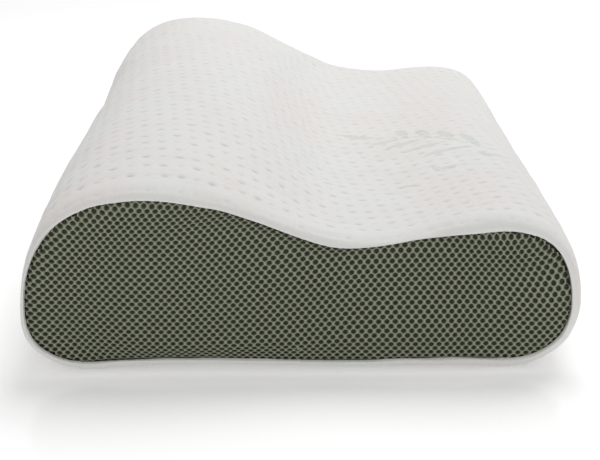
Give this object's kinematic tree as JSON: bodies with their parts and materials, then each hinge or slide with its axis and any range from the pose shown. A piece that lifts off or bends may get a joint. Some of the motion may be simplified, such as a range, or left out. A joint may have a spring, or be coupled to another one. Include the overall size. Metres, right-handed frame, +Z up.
{
  "type": "contour bed pillow",
  "caption": "Wave-shaped foam pillow with a high and a low neck lobe, in a dimpled knit cover with spacer mesh short ends and a zip along one long side.",
  "frame": {"origin": "on the surface that the pillow lies on, under the middle of its box", "axes": "+Z up, +Y along the pillow's length away from the near short end, +X towards the low lobe and the zip"},
  "size_m": [0.3, 0.499, 0.114],
  "materials": {
    "foam": "matte",
    "liner_jersey": "matte",
    "white_thread": "matte",
    "cover_knit": "matte",
    "spacer_mesh": "matte",
    "zip_tape": "matte",
    "zip_coil": "satin",
    "zip_metal": "satin",
    "label_weave": "satin"
  },
  "bodies": {
    "pillow": {"foam_core": "foam", "inner_liner": "liner_jersey", "inner_liner_seam": "white_thread", "cover_wrap": "cover_knit", "near_end_panel": "spacer_mesh", "far_end_panel": "spacer_mesh", "near_end_seam": "white_thread", "far_end_seam": "white_thread", "near_side_seam": "white_thread", "far_side_seam": "white_thread", "upper_zip_tape": "zip_tape", "lower_zip_tape": "zip_tape", "upper_zip_coil": "zip_coil", "lower_zip_coil": "zip_coil", "upper_zip_stitching": "white_thread", "lower_zip_stitching": "white_thread", "zip_top_stops": "zip_metal", "zip_bottom_stop": "zip_metal"},
    "slider": {"zip_slider": "zip_metal"},
    "pull": {"zip_pull": "zip_metal"},
    "label": {"care_label": "label_weave"}
  },
  "joints": [
    {"name": "zip_slide", "type": "slide", "parent": "pillow", "child": "slider", "axis": [0, -1, 0], "range_m": [0, 0.4]},
    {"name": "zip_pull_swing", "type": "hinge", "parent": "slider", "child": "pull", "pos_m": [0.14728, 0.2, 0.01898], "axis": [-0.4067, 0, -0.9135], "range_deg": [0, 178]},
    {"name": "label_flap", "type": "hinge", "parent": "pillow", "child": "label", "pos_m": [-0.08, 0.24915, 0.096], "axis": [1, 0, 0], "range_deg": [0, 120]}
  ]
}
